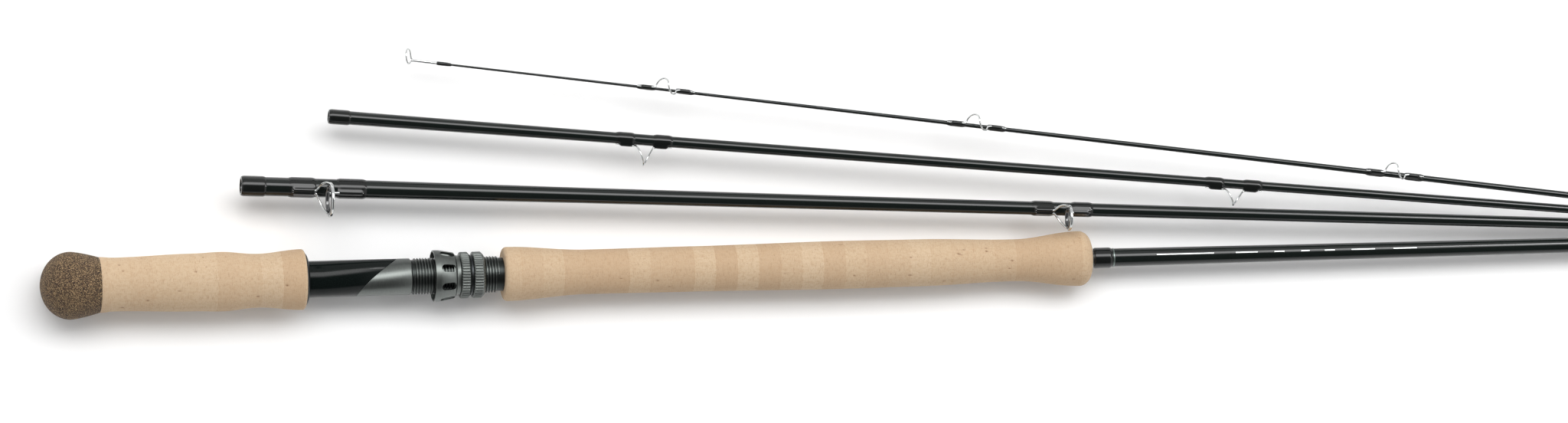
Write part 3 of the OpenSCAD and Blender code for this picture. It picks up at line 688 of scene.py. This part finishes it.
def build_sliding_hood():
    mouth = HOOD_MOUTH_R
    neck = HOOD_LEN - 2.6
    outside = [(0, mouth - 0.35), (0.1, mouth - 0.1), (0.35, mouth), (3.3, mouth), (3.5, mouth - 0.02),
               (neck - 1, 13.4), (neck - 0.6, 13.1), (neck, 12.3), (neck + 0.15, 11.75), (neck + 0.4, 11.6),
               (HOOD_LEN - 0.25, 11.6), (HOOD_LEN - 0.04, 11.4), (HOOD_LEN - 0.04, RUN_R + RUN_GAP)]
    inside = [(neck - 1.2, RUN_R + RUN_GAP), (neck - 2.2, 13.4 - HOOD_WALL), (3.3, mouth - HOOD_WALL),
              (0, mouth - HOOD_WALL + 0.3)]
    bm = bmesh.new()
    turned(bm, [(HOOD_X + x, r) for x, r in outside + inside], steps=160, closed=True)
    holder = bpy.data.objects.new("hood_blank", bpy.data.meshes.new("hood_blank"))
    bm.to_mesh(holder.data)
    bm.free()
    cutter = bpy.data.objects.new("vent_cutter", bpy.data.meshes.new("vent_cutter"))
    bm = vent_cutter()
    bm.to_mesh(cutter.data)
    bm.free()
    for made in (holder, cutter):
        bpy.context.scene.collection.objects.link(made)
    cut = holder.modifiers.new("vents", "BOOLEAN")
    cut.object = cutter
    cut.operation = "DIFFERENCE"
    cut.solver = "EXACT"
    bpy.context.view_layer.update()
    bm = bmesh.new()
    bm.from_object(holder, bpy.context.evaluated_depsgraph_get())
    for made in (holder, cutter):
        bpy.data.objects.remove(made)
    piece("sliding_hood_finished", bm, "butt_section", "gunmetal_aluminium", ["sliding_hood"], "hood",
          sharp=36, bevel_mm=0.18)


def knurled_nut(name, body, x, width, left, right):
    """A nut with straight ribs round it. Each rib has a flat top and sloped flanks. left and right are
    the widths of its chamfers."""
    root = NUT_R - RIB_DEPTH
    per_rib = 10
    rim = [(x, RUN_R), (x, root - left - 0.2), (x + 0.12, root - left), (x + left, NUT_R - 0.15),
           (x + left + 0.2, NUT_R), (x + width - right - 0.3, NUT_R), (x + width - right, NUT_R - 0.1),
           (x + width - 0.12, root - right * 0.7), (x + width, root - right * 0.7 - 0.2), (x + width, RUN_R)]
    bm = bmesh.new()
    turned(bm, rim, steps=RIBS * per_rib, closed=True)
    for vert in bm.verts:
        radius = math.hypot(vert.co.y, vert.co.z)
        place = (math.atan2(vert.co.y, vert.co.z) / TURN * RIBS) % 1
        height = min(1.0, max(0.0, (RIB_HALF - abs(place - 0.5)) / RIB_FLANK))
        limit = root + (NUT_R - root) * height
        if radius > limit:
            vert.co.y *= limit / radius
            vert.co.z *= limit / radius
    piece(name + "_finished", bm, "butt_section", "gunmetal_aluminium", [name], body, sharp=30)


def build_nuts():
    knurled_nut("lock_nut", "locking_nut", NUT_X, NUT_W, 0.5, 1.1)
    knurled_nut("jam_nut", "second_nut", JAM_NUT_X, JAM_NUT_W, 0.5, 1.6)
    bm = bmesh.new()
    turned(bm, [(WASHER_X, RUN_R), (WASHER_X, 11.5), (WASHER_X + 0.2, 11.7), (WASHER_X + 1.28, 11.7),
                (WASHER_X + 1.48, 11.5), (WASHER_X + 1.48, RUN_R)], closed=True)
    piece("jam_washer_finished", bm, "butt_section", "dark_aluminium", ["jam_washer"], "nut_washer")


def build_front_trim():
    x = FRONT_X
    bm = bmesh.new()
    turned(bm, [(x + 0.02, 5.5), (x + 0.02, 7.75), (x + 0.15, 7.85), (x + 0.45, 7.5), (x + 0.9, 6.75),
                (x + 1.3, 6.2), (x + 1.38, 6.0), (x + 1.38, 5.5)], closed=True)
    piece("winding_check_finished", bm, "butt_section", "bright_aluminium", ["winding_check"])


# ---------------------------------------------------------------- blanks and wraps


def blank(node, section, taper, bore, ends=(True, True)):
    """A tapered tube with softly rounded rims. bore is a list of (x, radius) from left to right."""
    first, last = taper[0][0], taper[-1][0]
    stations = sorted({first + 0.25, last - 0.25, *(x for x, _ in taper[1:-1]),
                       *(first + (last - first) * i / 40 for i in range(1, 40))})
    outer = [(x, radius_at(taper, x)) for x in stations]
    profile = [(first, outer[0][1] - 0.2)] + outer + [(last, outer[-1][1] - 0.2)] + list(reversed(bore))
    bm = bmesh.new()
    turned(bm, profile, steps=72, closed=True)
    piece(node + "_finished", bm, section, "carbon_blank", [node])


def wrap_ring(bm, taper, x1, x2, thickness, slope, ridges=(), roll_deg=0.0):
    """A thread wrap with tapered epoxy ends. Each ridge is (start, end, offset) of a foot below it."""
    count = max(14, int((x2 - x1) / 0.5))
    profile = [(x1, radius_at(taper, x1) - 0.1)]
    for i in range(count + 1):
        x = x1 + (x2 - x1) * i / count
        rise = min(1.0, (x - x1) / slope, (x2 - x) / slope)
        rise = math.sin(max(rise, 0.0) * math.pi / 2)
        profile.append((x, radius_at(taper, x) + 0.03 + (thickness - 0.03) * rise))
    profile.append((x2, radius_at(taper, x2) - 0.1))
    fresh = turned(bm, profile, steps=96, closed=True)
    for vert in fresh:
        radius = math.hypot(vert.co.y, vert.co.z)
        surface = radius_at(taper, vert.co.x)
        if radius < surface:
            continue
        angle = math.atan2(vert.co.y, vert.co.z)
        lift = 0.0
        for start, end, offset in ridges:
            across = (angle * radius - offset) / RIDGE_W
            inside = min(1.0, (vert.co.x - start) / 2.0, (end - vert.co.x) / 2.0)
            if inside > 0:
                lift = max(lift, RIDGE_H * math.sin(inside * math.pi / 2) * math.exp(-(across**2)))
        grown = (radius + lift) / radius
        vert.co.y *= grown
        vert.co.z *= grown
    roll(bm, fresh, roll_deg)


def ferrule_wrap(node, section, taper, x1, x2, thickness):
    bm = bmesh.new()
    wrap_ring(bm, taper, x1, x2, thickness, 1.6)
    piece(node + "_finished", bm, section, "thread_wrap", [node])


def build_blanks():
    blank("butt_blank", "butt_section", BUTT_TAPER, [(6, 5.4), (1015, 2.7)])
    blank("section_2_blank", "section_2", SECTION_2_TAPER,
          [(0, 4.4), (0.3, 4.23), (70, 4.23), (70.01, 4.08), (1015, 2.1)])
    blank("section_3_blank", "section_3", SECTION_3_TAPER,
          [(0, 3.1), (0.3, 2.93), (61, 2.93), (61.01, 2.78), (1015, 1.5)])
    ferrule_wrap("section_2_ferrule_wrap", "section_2", SECTION_2_TAPER, 0.3, 14.2, 0.45)
    ferrule_wrap("section_3_ferrule_wrap", "section_3", SECTION_3_TAPER, 0.3, 12.6, 0.4)
    ferrule_wrap("tip_ferrule_wrap", "tip_section", TIP_TAPER, 1003.7, 1014.7, 0.4)
    ferrule_wrap("butt_wrap", "butt_section", BUTT_TAPER, FRONT_X + 1.4, FRONT_X + 12.4, 0.65)
    bm = bmesh.new()
    wrap_ring(bm, BUTT_TAPER, FRONT_X + 13, FRONT_X + 13.8, 0.14, 0.25)
    piece("butt_trim_band_finished", bm, "butt_section", "trim_band", ["butt_trim_band"])
    build_tip_blank()


def build_tip_blank():
    """The finest blank: solid at its left end, and hollow from x = 600 to its socket."""
    first, last = 8, 1015
    stations = sorted({*(x for x, _ in TIP_TAPER[1:-1]),
                       *(first + (last - first) * i / 40 for i in range(1, 40))})
    profile = [(first, 0), (first, 0.45), (first + 0.15, 0.57)]
    profile += [(x, radius_at(TIP_TAPER, x)) for x in stations]
    profile += [(last - 0.2, 2.65), (last, 2.5), (last, 2.35), (last - 0.25, 2.23), (last - 53, 2.23),
                (last - 53.01, 1.8), (600, 0.6), (600, 0)]
    bm = bmesh.new()
    turned(bm, profile, steps=64)
    piece("tip_blank_finished", bm, "tip_section", "carbon_blank", ["tip_blank"])


# ---------------------------------------------------------------- guides


def snake(number, section, taper, mid, gap, height, roll_deg):
    """A snake guide and its two wraps. Seen along the rod, its wire makes a circle."""
    low = radius_at(taper, mid) + WRAP_T + WIRE_R + 0.1
    path = []
    for i in range(1, 64):
        t = i / 32 - 1
        ease = math.sin(math.pi / 2 * t) ** 2
        path.append((mid + gap / 2 * math.copysign(0.8 * ease + 0.2 * abs(t), t),
                     -height / 2 * math.sin(math.pi * t),
                     low + height * math.cos(math.pi / 2 * t) ** 2))
    foot_low = radius_at(taper, mid) + FOOT_END_R + 0.2
    ends = [[(mid + side * (gap / 2 + SNAKE_FOOT), 0, foot_low), (mid + side * (gap / 2 + 1.5), 0, low)]
            for side in (-1, 1)]
    path = ends[0] + path + ends[1][::-1]
    radii = [FOOT_END_R] + [WIRE_R] * (len(path) - 2) + [FOOT_END_R]
    bm = bmesh.new()
    roll(bm, wire(bm, path, radii), roll_deg)
    name = f"snake_{number}"
    piece(name + "_finished", bm, section, "guide_chrome", [name])
    bm = bmesh.new()
    for side in (-1, 1):
        near = mid + side * gap / 2
        far = near + side * SNAKE_FOOT
        x1, x2 = min(near, far), max(near, far)
        ridge = (x1 - 1.2 if side > 0 else x1 + 2, x2 + 1.2 if side < 0 else x2 - 2, 0)
        wrap_ring(bm, taper, x1, x2, WRAP_T, WRAP_SLOPE, [ridge], roll_deg)
    piece(name + "_wraps_finished", bm, section, "thread_wrap", [name + "_wraps"])


def stripper(number, x, diameter, left, right):
    """A stripping guide: a chromed band and legs, a ceramic ring, and two wraps, which reach from
    left[0] to left[1] and from right[0] to right[1]."""
    taper = SECTION_2_TAPER
    lean = Matrix.Rotation(math.radians(STRIPPER_LEAN), 4, "Y")
    middle = radius_at(taper, x) + 1.2 + diameter / 2
    place = Matrix.Translation((x, 0, middle)) @ lean
    low = radius_at(taper, x) + LEG_R + 0.02
    left_low = radius_at(taper, left[0]) + LEG_R + 0.02

    bm = bmesh.new()
    outer = diameter / 2
    inner = outer - STRIPPER_BAND_T
    band = [(-0.8, inner + 0.2), (-0.8, outer - 0.35), (-0.55, outer - 0.08), (-0.25, outer), (0.25, outer),
            (0.55, outer - 0.08), (0.8, outer - 0.35), (0.8, inner + 0.2), (0.6, inner), (-0.6, inner)]
    bmesh.ops.transform(bm, matrix=place, verts=turned(bm, band, steps=120, closed=True))
    for side in (-1, 1):
        path = [(left[0] + 2, side * 0.6, left_low), (left[1] - 2, side * 0.8, low)]
        for i in range(25):
            t = i / 24
            path.append((left[1] + (x - left[1]) * t,
                         side * (1 + (outer - 1.6) * math.sin(math.pi / 2 * t)),
                         low + (middle - low) * (1 - math.cos(math.pi / 2 * t))))
        wire(bm, path, [LEG_END_R] + [LEG_R] * (len(path) - 1), sides=16)
    foot = [(x - outer * math.sin(math.radians(STRIPPER_LEAN)), 0, middle - outer + 0.6),
            ((x + right[0]) / 2, 0, low + 0.8), (right[0] + 1, 0, low), (right[1] - 2, 0, low)]
    wire(bm, foot, [LEG_R, LEG_R, LEG_R, LEG_END_R], sides=16)
    roll(bm, bm.verts, SECTION_2_ROLL)
    name = f"stripper_{number}"
    piece(name + "_frame_finished", bm, "section_2", "guide_chrome", [name + "_frame"])

    bm = bmesh.new()
    edge = inner - CERAMIC_GAP
    thin = edge - CERAMIC_T
    arc = [(1.2 * math.sin(a), thin + 0.7 - 0.7 * math.cos(a))
           for a in (math.radians(d) for d in range(-100, 101, 20))]
    ring = [(-0.8, edge - 0.05), *arc, (0.8, edge - 0.05), (0.55, edge), (-0.55, edge)]
    bmesh.ops.transform(bm, matrix=place, verts=turned(bm, ring, steps=120, closed=True))
    roll(bm, bm.verts, SECTION_2_ROLL)
    piece(name + "_ring_finished", bm, "section_2", "guide_ceramic", [name + "_ring"])

    bm = bmesh.new()
    legs = [(left[0] + 1.5, left[1] + 1.2, offset) for offset in (-0.8, 0.8)]
    wrap_ring(bm, taper, *left, WRAP_T, WRAP_SLOPE, legs, SECTION_2_ROLL)
    foot = [(right[0] - 1.2, right[1] - 1.5, 0)]
    wrap_ring(bm, taper, *right, WRAP_T, WRAP_SLOPE, foot, SECTION_2_ROLL)
    piece(name + "_wraps_finished", bm, "section_2", "thread_wrap", [name + "_wraps"])


def build_tip_top():
    bm = bmesh.new()
    turned(bm, [(5.9, 0.5), (5.9, 0.68), (6.05, 0.8), (20.5, 0.8), (20.66, 0.72), (20.66, 0.5)], steps=40,
           closed=True)
    piece("tip_top_tube_finished", bm, "tip_section", "guide_chrome", ["tip_top_tube"])

    lean = math.radians(TIP_LOOP_LEAN)
    ring = []
    for i in range(49):
        a = math.radians(-38 + i * 256 / 48)
        ring.append((3.2 - TIP_LOOP_R * math.sin(a) * math.sin(lean), TIP_LOOP_R * math.cos(a),
                     5.6 + TIP_LOOP_R * math.sin(a) * math.cos(lean)))
    legs = [[(7.1, side * 0.5, 0), (5.5, side * 0.9, 0.4)] for side in (1, -1)]
    path = legs[0] + ring + legs[1][::-1]
    bm = bmesh.new()
    radii = [FOOT_END_R if p[0] > 5.9 else WIRE_R for p in path]
    roll(bm, wire(bm, path, radii), TIP_ROLL)
    piece("tip_top_loop_finished", bm, "tip_section", "guide_chrome", ["tip_top_loop"])

    bm = bmesh.new()
    turned(bm, [(20.7, 0.7), (20.75, 0.95), (21.3, 1.08), (24, 1.12), (27, 1.08), (28.6, 0.92), (29.25, 0.78),
                (29.3, 0.7)], steps=48, closed=True)
    piece("tip_wrap_finished", bm, "tip_section", "thread_wrap", ["tip_wrap"])


def build_guides():
    stripper(1, 50.3, 20.3, (27.7, 43.4), (56, 73))
    stripper(2, 485.5, 15.0, (465, 478), (488.5, 501))
    snake(1, "section_2", SECTION_2_TAPER, 803, 13, 9.6, SNAKE_1_ROLL)
    for number, mid, gap, height in ((2, 185.2, 11.2, 11), (3, 534.1, 11.7, 8.9), (4, 860, 11.7, 8.6)):
        snake(number, "section_3", SECTION_3_TAPER, mid, gap, height, SECTION_3_ROLL)
    for number, mid, gap in ((5, 155.5, 12.2), (6, 339.5, 13), (7, 588.4, 12.2), (8, 885, 12.2)):
        snake(number, "tip_section", TIP_TAPER, mid, gap, 8.6, TIP_ROLL)


# ---------------------------------------------------------------- plain dashes in place of lettering


def build_dashes():
    """Short silver dashes on the butt blank, a generic stand-in for printed words."""
    bm = bmesh.new()
    for start, length in DASHES:
        half = DASH_W / radius_at(BUTT_TAPER, start) / 2
        old = set(bm.verts)
        low = [bm.verts.new((x, 0, radius_at(BUTT_TAPER, x) + 0.01)) for x in (start, start + length)]
        high = [bm.verts.new((x, 0, radius_at(BUTT_TAPER, x) + 0.05)) for x in (start + length, start)]
        face = bm.faces.new(low + high)
        bmesh.ops.spin(
            bm, geom=[face, *face.edges, *face.verts], cent=(0, 0, 0), axis=(1, 0, 0), dvec=(0, 0, 0),
            angle=2 * half, steps=4, use_merge=False, use_duplicate=False,
        )
        fresh = [v for v in bm.verts if v not in old]
        turn = Matrix.Rotation(-math.radians(DASH_TURN) - half, 3, "X")
        bmesh.ops.rotate(bm, verts=fresh, cent=(0, 0, 0), matrix=turn)
    bmesh.ops.recalc_face_normals(bm, faces=bm.faces)
    piece("silver_dashes", bm, "butt_section", "trim_band", material=silver_paint())


build_pommel()
build_rear_grip()
build_foregrip()
build_seat()
build_fixed_hood()
build_sliding_hood()
build_nuts()
build_front_trim()
build_blanks()
build_guides()
build_tip_top()
build_dashes()

# The seat's arbors are hidden inside, and keep their CAD shape.
arbors = frame["nodes"]["seat_arbors"]
arbors.data.materials.clear()
arbors.data.materials.append(FINISHES["arbor_cork"])


# ---------------------------------------------------------------- stage, light and camera


def build_floor():
    bm = bmesh.new()
    bmesh.ops.create_grid(bm, x_segments=2, y_segments=2, size=6)
    bmesh.ops.translate(bm, verts=bm.verts, vec=(0, 0, cad_box[0].z - 0.0002))
    mesh = bpy.data.meshes.new("floor")
    bm.to_mesh(mesh)
    bm.free()
    material, _, _ = new_material("pale_paper", {"Base Color": colour("#f6f6f6"), "Roughness": 0.95,
                                                 "Specular IOR Level": 0.1})
    mesh.materials.append(material)
    floor = bpy.data.objects.new("floor", mesh)
    bpy.context.scene.collection.objects.link(floor)


def area_light(name, place, target, size, power):
    light = bpy.data.lights.new(name, "AREA")
    light.shape = "RECTANGLE"
    light.size, light.size_y = size
    light.energy = power
    made = bpy.data.objects.new(name, light)
    made.location = place
    made.rotation_euler = (Vector(target) - Vector(place)).to_track_quat("-Z", "Y").to_euler()
    bpy.context.scene.collection.objects.link(made)


def build_lights():
    """A sky with a long bank on the far side, by its angle from straight up towards +Y, plain grey
    towards both ends of the rod, and a brighter strip in front of the bank at the right."""
    world = bpy.data.worlds.new("studio")
    world.use_nodes = True
    tree = world.node_tree
    background = tree.nodes["Background"]
    direction = add(tree, "ShaderNodeTexCoord").outputs["Generated"]
    toward = add(tree, "ShaderNodeSeparateXYZ", links={0: direction})
    angle = add(tree, "ShaderNodeMath", {"operation": "ARCTAN2"},
                {0: toward.outputs["Y"], 1: toward.outputs["Z"]}).outputs[0]
    sky = [(-90, "#7a7a7a"), (-72, "#727272"), (-64, "#262626"), (9, "#262626"), (16, "#bcbcbc"),
           (22, "#ffffff"), (38, "#ffffff"), (46, "#6a6a6a"), (90, "#646464")]
    share = span(tree, angle, -math.pi / 2, math.pi / 2)
    glow = ramp(tree, share, [((degrees + 90) / 180, grey) for degrees, grey in sky])
    end = add(tree, "ShaderNodeMath", {"operation": "ABSOLUTE"}, {0: toward.outputs["X"]}).outputs[0]
    lit = mix(tree, span(tree, end, 0.4, 0.6), glow, "#6b6b6b")
    tree.links.new(lit, background.inputs["Color"])
    background.inputs["Strength"].default_value = 5.7
    bpy.context.scene.world = world
    area_light("line_strip", (0.95, 0.42, 1.5), (0.2, 0.0, 0.0), (1.4, 0.1), 7.0)


def build_camera():
    """A long lens, which sees the rod from above and a little from its left end, with a slight roll."""
    tilt = math.radians(9.5)
    lean = math.radians(1.5)
    view_width = 0.9248 * math.cos(tilt)
    distance = 11.0
    target = Vector((-0.1718, -0.0243, 0.01))
    back = Vector((-math.sin(tilt), 0, math.cos(tilt)))
    right = Vector((math.cos(lean), -math.sin(lean), 0))
    right = (right - right.dot(back) * back).normalized()
    up = back.cross(right)
    camera = bpy.data.cameras.new("camera")
    camera.sensor_width = 36
    camera.lens = camera.sensor_width * distance / view_width
    camera.clip_end = 50
    made = bpy.data.objects.new("camera", camera)
    turn = Matrix((right, up, back)).transposed().to_4x4()
    made.matrix_world = Matrix.Translation(target + back * distance) @ turn
    bpy.context.scene.collection.objects.link(made)
    bpy.context.scene.camera = made
    bpy.context.scene.view_settings.view_transform = "Standard"


build_floor()
build_lights()
build_camera()
